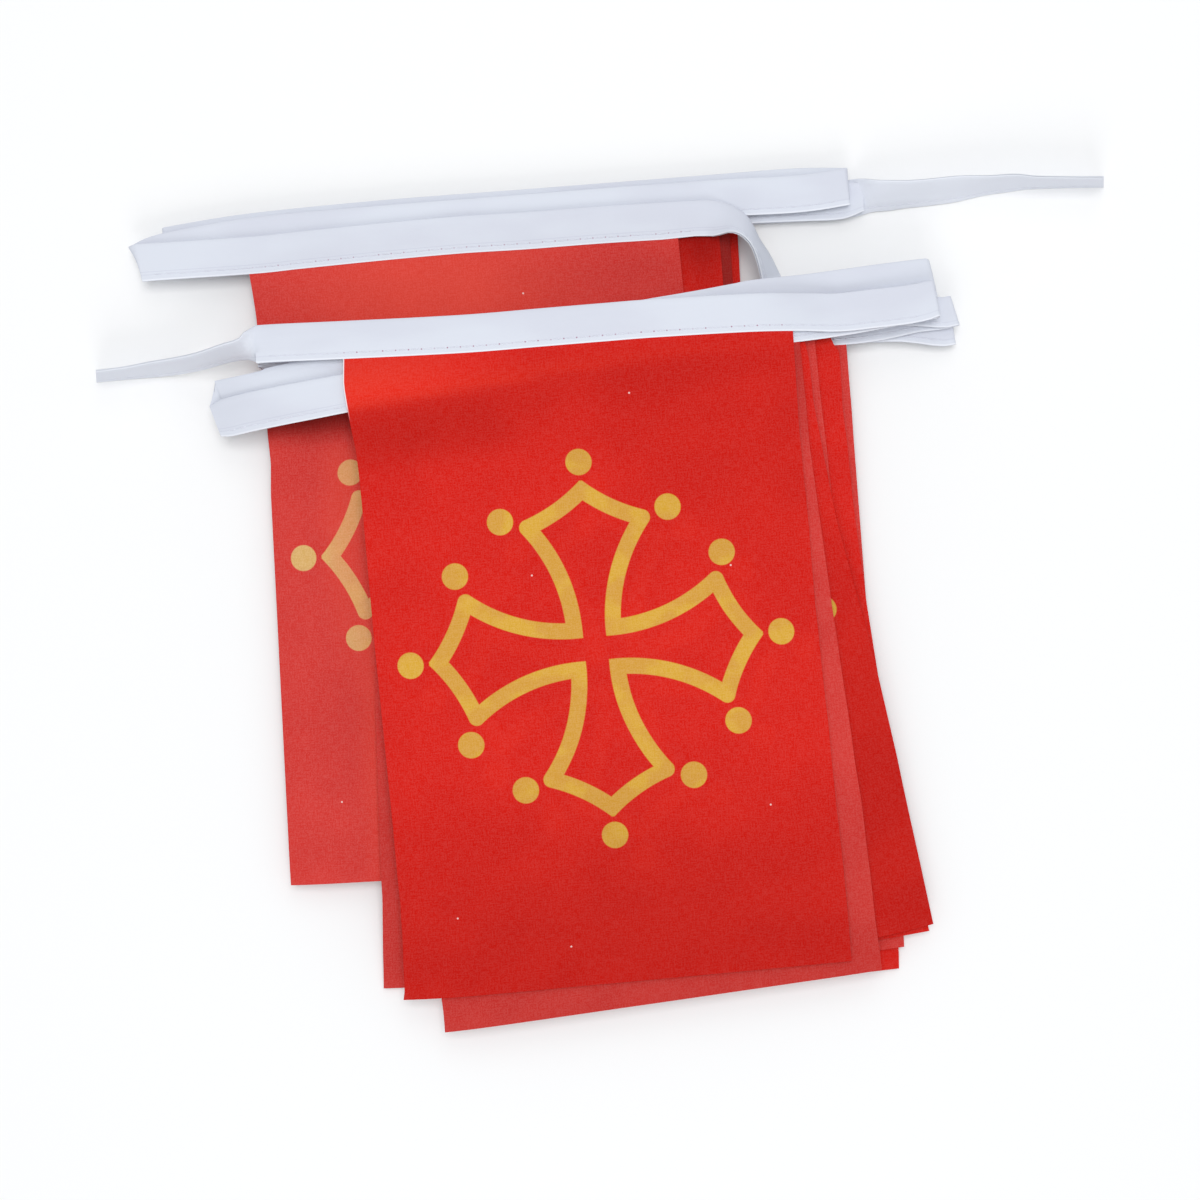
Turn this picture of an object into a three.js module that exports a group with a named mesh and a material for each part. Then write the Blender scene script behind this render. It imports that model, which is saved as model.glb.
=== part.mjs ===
import * as THREE from "three";
import { mergeVertices } from "three/addons/utils/BufferGeometryUtils.js";

// A string of rectangular flags sewn into a folded white tape, put away in two fanned stacks.
// The tape runs back and forth with a half turn at each end of a run, so every second flag lies face down.
// The front stack lies partly on the rear one and droops over its edges to the ground.
// Lengths are millimetres and angles are degrees. The ground is z = 0.

const FLAG_WIDTH = 140;
const TAPE_WIDTH = 12;
const SHEET = 1;
const LAYER_GAP = 0.5;
const PITCH = SHEET + LAYER_GAP;
const SEAM_GAP = 0.7;

// A sheet keeps its height this far past the edge of what is under it, then droops over the next stretch.
const EDGE_CLEAR = 2;
const DROOP = 40;
const LINK_DROOP = 80;

// Where the front stack starts to droop: past these places to the left, to the right and downwards.
const DROOP_LEFT = -64;
const DROOP_RIGHT = 34;
const FLAG_DROOP_RIGHT = 50;
const FLAG_DROOP_DOWN = -79.75;
const REAR_TURN = 3.2;

// Spacing of the sections that a sheet is made of: on the flat, over the edges of a fan and in a droop.
const FLAT_STEP = 26;
const ROW_STEP = 20;
const FAN_STEP = 8;
const DROOP_STEP = 6;
const FAN_WIDTH = 40;
const TAPE_FLAT_STEP = 18;
const TAPE_DROOP_STEP = 5;
const FOLD_STEPS = 4;

// Corners of the box closer together than this become one, so that the body is closed.
const MERGE_WITHIN = 1e-5;

// The folded edge of each tie ends this much further in than the open one.
const TIE_END_SLANT = 3.1;

const COLOURS = { red: 0xc8281f, pale: 0xcf4a45, tape: 0xe2e4ee };

// One row for each run of tape with its flag, in the order in which the tape passes through them.
// path: the middle of the tape. x, y: the flag's lower left corner as it lies.
// turn: how far its lower edge is turned to the left, and lean: how far its sides are.
// slant: how far right of square the tape's folded edge is, at the left and the right end of the run.
const FRONT = [
  {
    name: "flag_01", x: -61.6, y: -128.2, turn: 5.3, lean: 5.2,
    path: [
      [-108.1, 79.95], [-79.5, 81.15], [-43.8, 82.95], [-18.8, 84.95], [0, 86.45], [18.8, 87.85],
      [60.2, 90.15], [75, 90.55], [85.7, 91.75], [97.3, 93.15], [105.8, 94.95],
    ],
  },
  {
    name: "flag_02", x: -49.45, y: -138.65, turn: 8.27, lean: 7.5,
    path: [
      [105.8, 95.05], [85.9, 91.25], [61, 86.85], [39.1, 83.75], [0.6, 78.95], [-37.5, 72.05],
      [-78.8, 64.85], [-104.1, 60.25], [-122.9, 56.95],
    ],
    slant: [-2.3, 0],
  },
  {
    name: "flag_03", x: -30.1, y: -133.55, turn: 12, lean: 13.6,
    path: [
      [-120.2, 63.45], [-112.2, 64.75], [-105.5, 66.15], [-96.3, 68.45], [-20, 82.25], [0, 85.65],
      [16, 88.35], [32, 91.05], [45, 93.55], [51.4, 94.75], [104.6, 102.25],
    ],
    slant: [-3.2, -1.5],
  },
  {
    name: "flag_04", x: -52.2, y: -123.15, turn: 6, lean: 5.5,
    path: [
      [105.4, 101.65], [68.6, 96.85], [40, 92.25], [10, 86.75], [-20, 83.75], [-70.6, 81.25],
      [-106.8, 80.25],
    ],
    slant: [0, -1.5],
  },
  {
    name: "flag_05", x: -33, y: -129.05, turn: 9, lean: 9.6,
    path: [
      [-107, 80.05], [-67, 76.65], [-20, 80.75], [20, 86.75], [50, 91.75], [72, 94.25], [92, 93.65],
      [103, 93.25], [109.5, 92.85], [112.4, 93.45],
    ],
    slant: [0, -0.6],
  },
  {
    name: "flag_06", x: -42, y: -128.15, turn: 6.5, lean: 5.3,
    path: [
      [112.4, 93.35], [109.5, 92.55], [101, 91.45], [90, 89.05], [78, 87.45], [62, 86.55], [30, 85.25],
      [0, 82.75], [-61.2, 78.95], [-107, 79.65],
    ],
    slant: [0, -0.6],
  },
  {
    name: "flag_07", x: -42.4, y: -133.05, turn: 5.6, lean: 5.6,
    path: [
      [-107.2, 79.45], [-62.6, 75.05], [20, 82.85], [62, 86.85], [78, 87.65], [86, 88.45], [95.6, 88.75],
      [102, 88.25], [109.4, 87.35], [112.6, 87.75],
    ],
  },
  {
    name: "flag_08", x: -69.2, y: -125.85, turn: 2, lean: 1.4,
    path: [
      [112.6, 87.85], [109.4, 87.55], [98, 89.25], [64.5, 88.65], [0, 84.85], [-72.8, 79.85],
      [-107.4, 79.65],
    ],
  },
  {
    name: "flag_09", x: -61.4, y: -126.55, turn: 3.2, lean: 3,
    path: [[-107.6, 79.45], [-71.6, 78.05], [0, 83.85], [66.2, 88.45], [90.8, 89.05]],
  },
];

const REAR = [
  {
    name: "flag_10", x: -99.2, y: -91.95, turn: 3.2, lean: 3,
    path: [
      [34.4, 121.85], [6.4, 120.15], [-6.4, 119.25], [-25.5, 117.75], [-44.8, 116.55], [-70.5, 114.25],
      [-96, 111.65], [-111.6, 110.05], [-147.2, 107.65],
    ],
    slant: [-1, 0],
  },
  {
    name: "flag_11", x: -86.2, y: -85.75, turn: 4.5, lean: 4.5,
    path: [
      [-147.4, 107.85], [-139.4, 111.35], [-112.8, 116.25], [-82.8, 119.25], [-38.3, 122.75], [32, 128.15],
      [63, 129.95], [78.6, 132.25],
    ],
    slant: [-1, 0],
  },
  {
    name: "flag_12", x: -84.7, y: -83.25, turn: 4, lean: 4,
    path: [
      [78.8, 132.65], [62, 132.45], [32.3, 130.15], [-24.3, 125.75], [-70.1, 122.25], [-112.7, 117.95],
      [-139, 113.65],
    ],
  },
  {
    name: "flag_13", x: -83.9, y: -85.25, turn: 3.4, lean: 3.4,
    path: [[-139.2, 113.45], [-112.3, 115.65], [-38.5, 121.15], [43.3, 126.75], [84.6, 128.35]],
  },
  {
    name: "flag_14", x: -90.7, y: -83.55, turn: 2.6, lean: 2.6,
    path: [[82.6, 129.05], [43.6, 126.65], [-38.8, 120.05], [-113.1, 114.55], [-135.8, 113.05]],
  },
  {
    name: "flag_15", x: -84.3, y: -84.55, turn: 3.2, lean: 3.2,
    path: [[-136, 113.15], [-113.3, 115.05], [-38.9, 120.95], [43.7, 127.25], [80.9, 129.75]],
  },
];

// The tape between the two stacks and its two loose ends: place, roll about its length, height of
// the middle. A row with no height stands on the ground.
const LINK = [
  { x: 73.2, y: 89.15, roll: 0, z: 2.4 },
  { x: 68, y: 90.05, roll: -9, z: 2.3 },
  { x: 63.6, y: 91.45, roll: -20, z: 2.8 },
  { x: 60, y: 93.65, roll: -30, z: 3.6 },
  { x: 57.3, y: 97.25, roll: -41, z: 4.5 },
  { x: 55, y: 102.85, roll: -52, z: 5.8 },
  { x: 52.2, y: 109.45, roll: -61, z: 8.4 },
  { x: 48.9, y: 114.35, roll: -65, z: 11.2 },
  { x: 45.3, y: 118.65, roll: -49, z: 11.6 },
  { x: 41, y: 121.15, roll: -29, z: 10 },
];
const LEFT_TIE = [
  { x: -161.82, y: 71.55, roll: 80 },
  { x: -152.2, y: 72.55, roll: 80 },
  { x: -143, y: 73.75, roll: 75, z: 6.5 },
  { x: -135.2, y: 74.55, roll: 73, z: 8.6 },
  { x: -127.2, y: 75.65, roll: 72.5, z: 12 },
  { x: -118.2, y: 77.65, roll: 70, z: 16.1 },
  { x: -111.3, y: 78.95, roll: 59, z: 18.1 },
];
const RIGHT_TIE = [
  { x: 87.3, y: 129.75, roll: 43 },
  { x: 93.2, y: 129.85, roll: 50 },
  { x: 98, y: 130.15, roll: 56 },
  { x: 105.1, y: 130.75, roll: 58 },
  { x: 114.7, y: 131.85, roll: 60 },
  { x: 124, y: 132.85, roll: 72 },
  { x: 132.2, y: 133.65, roll: 76 },
  { x: 138.9, y: 133.75, roll: 84 },
  { x: 150.9, y: 133.85, roll: 87 },
  { x: 161.75, y: 133.95, roll: 88 },
];

const RUNS = [...FRONT, ...REAR];
const UP = new THREE.Vector3(0, 0, 1);

function radians(degrees) {
  return THREE.MathUtils.degToRad(degrees);
}

// The sheets from the ground up. The link has a layer of its own between the two stacks.
const LINK_LAYER = REAR.length;
RUNS.forEach((run, i) => {
  run.layer = RUNS.length - 1 - i + (i < FRONT.length ? 1 : 0);
  run.rightward = i % 2 === 0;
});

// Points along a smooth line through the path, closer together where the sheet droops.
function stationsAlong(path, isDroop) {
  const curve = new THREE.SplineCurve(path.map(([x, y]) => new THREE.Vector2(x, y)));
  const fine = curve.getSpacedPoints(Math.ceil(curve.getLength()));
  const stations = [fine[0]];
  for (const p of fine) {
    const step = isDroop(p) ? TAPE_DROOP_STEP : TAPE_FLAT_STEP;
    if (p.distanceTo(stations.at(-1)) >= step) stations.push(p);
  }
  const end = fine.at(-1);
  if (end.distanceTo(stations.at(-1)) < TAPE_DROOP_STEP / 2) stations.pop();
  stations.push(end);
  return stations;
}

function directionAt(points, i) {
  const before = points[Math.max(i - 1, 0)];
  const after = points[Math.min(i + 1, points.length - 1)];
  return new THREE.Vector2().subVectors(after, before).normalize();
}

// The direction from the flag's side of the tape to its folded edge, in plan.
function acrossTape(direction, rightward) {
  const side = rightward ? 1 : -1;
  return new THREE.Vector2(-direction.y * side, direction.x * side);
}

for (const run of RUNS) {
  const isFront = run.layer > LINK_LAYER;
  run.stations = stationsAlong(run.path, (p) => isFront && (p.x > DROOP_RIGHT || p.x < DROOP_LEFT));
  run.seam = run.stations.map((p, i) =>
    p.clone().addScaledVector(acrossTape(directionAt(run.stations, i), run.rightward), -TAPE_WIDTH / 2),
  );
}

// How far it is from a point on a flag's lower edge, up along its sides, to the tape's edge.
function lengthToSeam(run, base, up) {
  for (let i = 1; i < run.seam.length; i++) {
    const a = run.seam[i - 1].clone().sub(base);
    const b = run.seam[i].clone().sub(base);
    const sideA = up.cross(a);
    const sideB = up.cross(b);
    if (sideA * sideB <= 0) return a.lerp(b, sideA / (sideA - sideB)).dot(up) - SEAM_GAP;
  }
  throw new Error(run.name + " doesn't reach its tape");
}

// A place on a flag. across: 0 at its left, 1 at its right. share: 0 at its lower edge, 1 at the tape.
function placeOnFlag(run, across, share) {
  const along = new THREE.Vector2(Math.cos(radians(run.turn)), Math.sin(radians(run.turn)));
  const up = new THREE.Vector2(-Math.sin(radians(run.lean)), Math.cos(radians(run.lean)));
  const base = new THREE.Vector2(run.x, run.y).addScaledVector(along, across * FLAG_WIDTH);
  return base.addScaledVector(up, share * lengthToSeam(run, base, up));
}

for (const run of RUNS) {
  run.corners = [[0, 0], [1, 0], [1, 1], [0, 1]].map(([across, share]) => placeOnFlag(run, across, share));
}

function distanceToLine(p, points, closed) {
  let best = Infinity;
  for (let i = closed ? 0 : 1; i < points.length; i++) {
    const a = points[(i + points.length - 1) % points.length];
    const along = new THREE.Vector2().subVectors(points[i], a);
    const t = THREE.MathUtils.clamp(p.clone().sub(a).dot(along) / along.lengthSq(), 0, 1);
    best = Math.min(best, p.distanceTo(a.clone().addScaledVector(along, t)));
  }
  return best;
}

function isInside(p, corners) {
  return corners.every((a, i) => {
    const b = corners[(i + 1) % corners.length];
    return b.clone().sub(a).cross(p.clone().sub(a)) >= 0;
  });
}

const linkPath = [FRONT.at(-1).path.at(-1), ...LINK.map(({ x, y }) => [x, y])];
const linkLine = linkPath.map(([x, y]) => new THREE.Vector2(x, y));

// How much of one layer's height a sheet still gives at a place to what lies over it, from 0 to 1.
function support(layer, p) {
  const run = RUNS.find((r) => r.layer === layer);
  let away = distanceToLine(p, run ? run.stations : linkLine, false) - TAPE_WIDTH / 2;
  if (run) away = Math.min(away, isInside(p, run.corners) ? 0 : distanceToLine(p, run.corners, true));
  return 1 - THREE.MathUtils.smoothstep(away, EDGE_CLEAR, EDGE_CLEAR + (run ? DROOP : LINK_DROOP));
}

function heightOf(layer, p) {
  let sum = 0;
  for (let under = 0; under < layer; under++) sum += support(under, p);
  return sum * PITCH;
}

// A closed body from a box of cells, each corner of which is moved to where place() puts it.
function bodyFrom(cellsAcross, cellsUp, place) {
  const box = new THREE.BoxGeometry(cellsAcross, cellsUp, 1, cellsAcross, cellsUp, 1);
  const at = box.getAttribute("position");
  for (let i = 0; i < at.count; i++) {
    const column = Math.round(at.getX(i) + cellsAcross / 2);
    const row = Math.round(at.getY(i) + cellsUp / 2);
    const p = place(column, row, at.getZ(i));
    at.setXYZ(i, p.x, p.y, p.z);
  }
  box.deleteAttribute("normal");
  box.deleteAttribute("uv");
  const body = mergeVertices(box, MERGE_WITHIN);
  body.computeVertexNormals();
  return body;
}

// Places from 0 to the end of the last zone. Each zone has its end and the step that it is divided by.
function gridLines(zones) {
  const lines = [0];
  for (const [end, step] of zones) {
    const start = lines.at(-1);
    const count = Math.max(1, Math.round((end - start) / step));
    for (let i = 1; i <= count; i++) lines.push(start + ((end - start) * i) / count);
  }
  return lines;
}

function flagGrid(run) {
  const height = run.corners[3].distanceTo(run.corners[0]);
  if (run.layer < LINK_LAYER) {
    return {
      columns: gridLines([[2 * FAN_STEP, FAN_STEP], [FLAG_WIDTH, FLAT_STEP]]),
      rows: gridLines([[2 * FAN_STEP, FAN_STEP], [height - FAN_WIDTH, FLAT_STEP], [height, FAN_STEP]]),
    };
  }
  const droopAcross = FLAG_DROOP_RIGHT - run.x;
  const rise = FLAG_WIDTH * Math.sin(radians(Math.max(0, run.turn - REAR_TURN)));
  const droopUp = FLAG_DROOP_DOWN - run.y + rise;
  return {
    columns: gridLines([[FAN_WIDTH, FAN_STEP], [droopAcross, FLAT_STEP], [FLAG_WIDTH, DROOP_STEP]]),
    rows: gridLines([[droopUp, DROOP_STEP], [height - FAN_WIDTH, ROW_STEP], [height, FAN_STEP]]),
  };
}

function flagBody(run) {
  const { columns, rows } = flagGrid(run);
  return bodyFrom(columns.length - 1, rows.length - 1, (column, row, side) => {
    const p = placeOnFlag(run, columns[column] / FLAG_WIDTH, rows[row] / rows.at(-1));
    return new THREE.Vector3(p.x, p.y, heightOf(run.layer, p) + SHEET * (0.5 + side));
  });
}

// Sections of the tape: middle, direction of travel and direction across it, which the roll tilts.
function section(x, y, z, travel, across, roll = 0) {
  const tilted = new THREE.Vector3(across.x, across.y, 0)
    .multiplyScalar(Math.cos(radians(roll)))
    .addScaledVector(UP, Math.sin(radians(roll)));
  return { middle: new THREE.Vector3(x, y, z), travel: travel.clone(), across: tilted };
}

// Slants a section: its folded edge moves to the right against its open edge.
function slant(end, shift) {
  end.across.x += shift / TAPE_WIDTH;
}

// On a stack the tape tilts with what is under its two edges.
function runSections(run) {
  const heightBeside = (p, across, side) =>
    heightOf(run.layer, p.clone().addScaledVector(across, side * TAPE_WIDTH));
  const sections = run.stations.map((p, i) => {
    const travel = directionAt(run.stations, i);
    const across = acrossTape(travel, run.rightward);
    const rise = heightBeside(p, across, 0.5) - heightBeside(p, across, -0.5);
    const roll = THREE.MathUtils.radToDeg(Math.atan2(rise, TAPE_WIDTH));
    const z = heightOf(run.layer, p) + SHEET / 2;
    return section(p.x, p.y, z, new THREE.Vector3(travel.x, travel.y, 0), across, roll);
  });
  const [left, right] = run.slant ?? [0, 0];
  slant(sections[0], run.rightward ? left : right);
  slant(sections.at(-1), run.rightward ? right : left);
  return sections;
}

// The height of the middle of the tape where its lower edge is on the ground.
function standingHeight(roll) {
  return (TAPE_WIDTH / 2) * Math.sin(radians(Math.abs(roll))) + (SHEET / 2) * Math.cos(radians(roll));
}

function freeSections(rows, before, after, rightward) {
  const points = [...before, ...rows.map(({ x, y }) => new THREE.Vector2(x, y)), ...after];
  return rows.map(({ x, y, roll, z = standingHeight(roll) }, i) => {
    const travel = directionAt(points, i + before.length);
    return section(x, y, z, new THREE.Vector3(travel.x, travel.y, 0), acrossTape(travel, rightward), roll);
  });
}

// The half turn between the last section of one run and the first of the next.
function halfTurn(from, to) {
  const outward = new THREE.Vector3().subVectors(from.travel, to.travel).setZ(0).normalize();
  const down = new THREE.Vector3(0, 0, Math.sign(to.middle.z - from.middle.z));
  const bulge = Math.abs(to.middle.z - from.middle.z) / 2;
  const sections = [];
  for (let step = 1; step < FOLD_STEPS; step++) {
    const angle = (Math.PI * step) / FOLD_STEPS;
    const share = (1 - Math.cos(angle)) / 2;
    sections.push({
      middle: from.middle.clone().lerp(to.middle, share).addScaledVector(outward, bulge * Math.sin(angle)),
      travel: outward.clone().multiplyScalar(Math.cos(angle)).addScaledVector(down, Math.sin(angle)),
      across: from.across.clone().lerp(to.across, share).normalize(),
    });
  }
  return sections;
}

function tapeSections() {
  const parts = RUNS.map(runSections);
  const all = freeSections(LEFT_TIE, [], [RUNS[0].stations[0]], true);
  parts.forEach((part, i) => {
    all.push(...part);
    if (i === FRONT.length - 1) {
      const start = new THREE.Vector2(part.at(-1).middle.x, part.at(-1).middle.y);
      const link = freeSections(LINK, [start], [REAR[0].stations[0]], false);
      const { x, y } = link[0].middle;
      const travel = new THREE.Vector3(x - start.x, y - start.y, 0).normalize();
      const z = heightOf(LINK_LAYER, start) + SHEET / 2;
      const first = section(start.x, start.y, z, travel, acrossTape(travel, false));
      all.push(...halfTurn(part.at(-1), first), first, ...link);
    } else if (i < parts.length - 1) {
      all.push(...halfTurn(part.at(-1), parts[i + 1][0]));
    }
  });
  all.push(...freeSections(RIGHT_TIE, [RUNS.at(-1).stations.at(-1)], [], true));
  slant(all[0], TIE_END_SLANT);
  slant(all.at(-1), -TIE_END_SLANT);
  return all;
}

function tapeBody() {
  const sections = tapeSections();
  return bodyFrom(sections.length - 1, 1, (column, row, side) => {
    const { middle, travel, across } = sections[column];
    const face = new THREE.Vector3().crossVectors(travel, across).normalize();
    return middle
      .clone()
      .addScaledVector(across, (row - 0.5) * TAPE_WIDTH)
      .addScaledVector(face, side * SHEET);
  });
}

function cloth(name, geometry, color) {
  const material = new THREE.MeshStandardMaterial({ color, roughness: 0.8, metalness: 0 });
  const mesh = new THREE.Mesh(geometry, material);
  mesh.name = name;
  return mesh;
}

const bunting = new THREE.Group();
bunting.add(cloth("tape", tapeBody(), COLOURS.tape));
for (const run of RUNS) {
  bunting.add(cloth(run.name, flagBody(run), run.rightward ? COLOURS.red : COLOURS.pale));
}

export default bunting;
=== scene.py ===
import math

import bmesh
import bpy
import numpy as np
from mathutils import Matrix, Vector, noise


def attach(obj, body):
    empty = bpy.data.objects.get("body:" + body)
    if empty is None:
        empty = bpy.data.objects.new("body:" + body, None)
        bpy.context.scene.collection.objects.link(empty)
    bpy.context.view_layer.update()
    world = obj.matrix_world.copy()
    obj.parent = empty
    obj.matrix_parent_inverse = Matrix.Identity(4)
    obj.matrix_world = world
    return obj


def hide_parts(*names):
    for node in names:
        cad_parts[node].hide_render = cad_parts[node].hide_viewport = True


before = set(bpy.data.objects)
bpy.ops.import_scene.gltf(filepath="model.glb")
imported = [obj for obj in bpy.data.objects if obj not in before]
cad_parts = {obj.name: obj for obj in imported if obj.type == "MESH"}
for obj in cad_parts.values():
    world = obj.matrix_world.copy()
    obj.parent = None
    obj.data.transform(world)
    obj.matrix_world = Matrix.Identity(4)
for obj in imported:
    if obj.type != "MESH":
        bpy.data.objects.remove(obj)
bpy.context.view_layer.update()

# A string of flag bunting put away in two fanned stacks: draped flags with a printed cross and a folded
# tape. Lengths are metres, and the tables are millimetres as in the part's source. Angles are degrees.

MM = 0.001
FLAG_WIDTH = 140 * MM
TAPE_WIDTH = 12 * MM
SHEET = 1 * MM
PITCH = 1.5 * MM
EDGE_CLEAR = 2 * MM
DROOP = 40 * MM
LINK_DROOP = 80 * MM

# The cloth itself is thinner than the space that its solid keeps for it.
FLAG_THICKNESS = 0.3 * MM
LEAF_THICKNESS = 0.2 * MM
TAPE_HALF_HEIGHT = 0.44 * MM
FLAG_INSIDE_TAPE = 10.5 * MM
GRID_STEP = 2.4 * MM
TAPE_STEP = 2.2 * MM
ROUGH_STEP = 8 * MM
FOLD_STEPS = 8
SHARP_ANGLE = 50

# The folded edge of each tie ends this much further in than the open one. A slant fades out over its reach.
TIE_END_SLANT = 3.1 * MM
SLANT_REACH = 10 * MM

# The seam: one row of stitches near the tape's open edge.
SEAM_UP = 1.9 * MM
STITCH_PITCH = 4.05 * MM
STITCH_LENGTH = 3.3 * MM
THREAD_RADIUS = 0.13 * MM
THREAD_SIDES = 4
THREAD_FLATNESS = 1.3

# The rings of one stitch. Rows: place in shares of its length, lift and girth in radii of the thread.
STITCH = [(-0.5, -1.2, 0.5), (-0.38, 0.3, 0.9), (0, 0.6, 1), (0.38, 0.3, 0.9), (0.5, -1.2, 0.5)]

# One leaf of the tape. Rows: place from its open edge, and how far the seam draws it in there. The seam is
# in the row of that number. The tape's folded edge is rounded at these angles.
LEAF = [
    (0, 0.1), (0.6, 0), (1.3, 0.03), (SEAM_UP / MM, 0.13), (2.6, 0.03), (3.6, 0), (5.5, 0), (8.2, 0),
    (10.4, 0),
]
SEAM_ROW = 3
FOLDED_EDGE_ANGLES = (75, 45, 15, -15, -45, -75)

# The back leaf of the tape is this much further up in its UV, which tells it from the front one.
BACK_LEAF = 0.1

# Low relief of the flags: uneven waves, and a rise where the tape of the next run is right behind.
RIPPLE_SIZE = 45 * MM
RIPPLE_HEIGHT = 0.25 * MM
LOOSE_FROM_SEAM = 14 * MM
TAPE_RELIEF = 0.35 * MM
SHOW_EDGE = 1.6 * MM

# A painted highlight runs along the first flag's left edge from this height up.
EDGE_HIGHLIGHT_FROM = 186 * MM
EDGE_HIGHLIGHT_FADE = 4 * MM
EDGE_HIGHLIGHT_WIDTH = 0.4 * MM
EDGE_HIGHLIGHT_CORE = 0.2 * MM

# The weave's pitch and depth, the sparse lint, and the needle's holes from their rim to their core.
FLAG_WEAVE = 0.5 * MM
FLAG_WEAVE_DEPTH = 0.01 * MM
TAPE_WEAVE = 0.45 * MM
TAPE_WEAVE_DEPTH = 0.012 * MM
TAPE_CREASES = 22.0
LINT_SPACING = 68 * MM
LINT_RADIUS = 0.3 * MM
LINT_STRENGTH = 0.7
HOLE_RIM = 0.34 * MM
HOLE_CORE = 0.12 * MM

# How strongly the cross of the flag below shows through, and how soft its edge is there. How strongly each
# side of the flags shows its grain, and what is white right behind it.
GHOST = 0.1
GHOST_EDGE = 0.02
PRINTED_GRAIN = 0.035
PRINTED_SHOW = 0.6
BACK_GRAIN = 0.05
BACK_SHOW = 0.4

# The photograph was taken from straight above.
CAMERA_HEIGHT = 624 * MM
CAMERA_Y = -0.35 * MM
HALF_VIEW = 0.3118
SENSOR_WIDTH = 36

# The printed cross, in shares of the distance from its middle to the middle of a tip disc.
CROSS_REACH = 58.65 * MM
CROSS_UP = 106.6 * MM
BAND_WIDTH = 0.0855
DISC_RADIUS = 0.0706
SIDE_DISC = (0.452, 0.719)
INNER_CORNER = (0.105, 0.105)
LIMB_WAIST = (0.152, 0.386)
SHOULDER = (0.31, 0.675)
TIP = (0.0, 0.85)
TIP_CUT = 0.9
TIP_SAG = 0.017
PRINT_EDGE = 0.0035

# Colours from 0 to 255. Each side of the flags has its field and the field's deeper patches, the gold and
# the gold's brighter patches, and the field where something white is right behind it.
PRINTED_SIDE = dict(
    field=(213, 28, 17), deep=(206, 23, 13),
    gold=(210, 155, 58), bright_gold=(216, 167, 56),
    backed=(236, 50, 30),
)
BACK_SIDE = dict(
    field=(210, 56, 50), deep=(203, 50, 45),
    gold=(212, 166, 103), bright_gold=(217, 174, 103),
    backed=(226, 92, 84),
)
CUT_EDGE = (206, 60, 54)
FRAYED_EDGE = (232, 150, 144)
# The painted highlight along the first flag's left edge.
PAINTED_EDGE_HIGHLIGHT = (238, 226, 230)
# The grain's grooves darken towards the first of these, which is also the painted shade; the second is the
# painted light.
GRAIN_DARK_AND_PAINTED_SHADE = (96, 0, 0)
PAINTED_LIGHT = (250, 92, 70)
LINT = (246, 222, 216)
TAPE_WHITE = (217, 221, 231)
TAPE_SHADE = (212, 215, 226)
# Below the seam the hem is painted the tape's plain white; the rim at the open edge has a painted
# highlight.
TAPE_HEM = (217, 221, 231)
TAPE_RIM_HIGHLIGHT = (232, 235, 243)
# Painted light: this share of the rim's highlight colour lies over the whole of each tie, which stands on
# edge.
TIE_PAINTED_LIGHT = 0.6
SEAM_SHADE = (188, 190, 208)
NEEDLE_HOLE = (172, 128, 148)
THREAD = (226, 228, 238)

# Painted shade and painted light on the flags, such as shadow under a tape, shade on drooping lower parts,
# and light added where shade falls too deep. Each fades to nothing at the edge of an ellipse. Rows: flag,
# place across and up it, the ellipse's reach across and up in millimetres, strength (below 0 is painted
# shade).
PAINTED_SHADE_AND_LIGHT = [
    ("flag_01", 14, 180, 60, 17, -0.25),
    ("flag_01", 70, 180, 60, 30, -0.08),
    ("flag_01", 125, 170, 60, 60, -0.12),
    ("flag_01", 8, 199, 50, 14, 0.15),
    ("flag_01", 70, 192, 90, 14, -0.1),
    ("flag_01", 75, 0, 190, 85, -0.27),
    ("flag_02", 70, 0, 180, 80, -0.2),
    ("flag_02", 140, 205, 16, 50, -0.25),
    ("flag_03", 140, 20, 60, 160, -0.25),
    ("flag_08", 0, 0, 60, 120, -0.12),
    ("flag_10", 60, 185, 70, 34, 0.32),
    ("flag_10", 24, 115, 12, 60, 0.2),
    ("flag_10", 33, 40, 12, 80, 0.2),
    ("flag_10", 2, 163, 14, 8, -0.6),
    ("flag_10", 22, 148, 48, 10, -0.6),
    ("flag_10", 140, 185, 90, 30, -0.04),
    ("flag_11", 134, 194, 16, 24, -0.55),
    ("flag_12", 140, 180, 10, 44, -0.55),
]

# Light: the world's strength, and each lamp's place, size in metres and power.
WORLD_LIGHT = 0.55
WORLD_COLOUR = (0.96, 0.98, 1.0, 1)
LAMPS = [
    ("overhead", (0, 0.3, 1.7), 0.9, 13.5),
    ("rear", (0.1, 1.1, 1.1), 0.7, 1.5),
    ("front", (0, -1.35, 0.95), 0.8, 5.5),
]
FLOOR_SIZE = 6
FLOOR_COLOUR = (0.915, 0.915, 0.915, 1)

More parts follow.
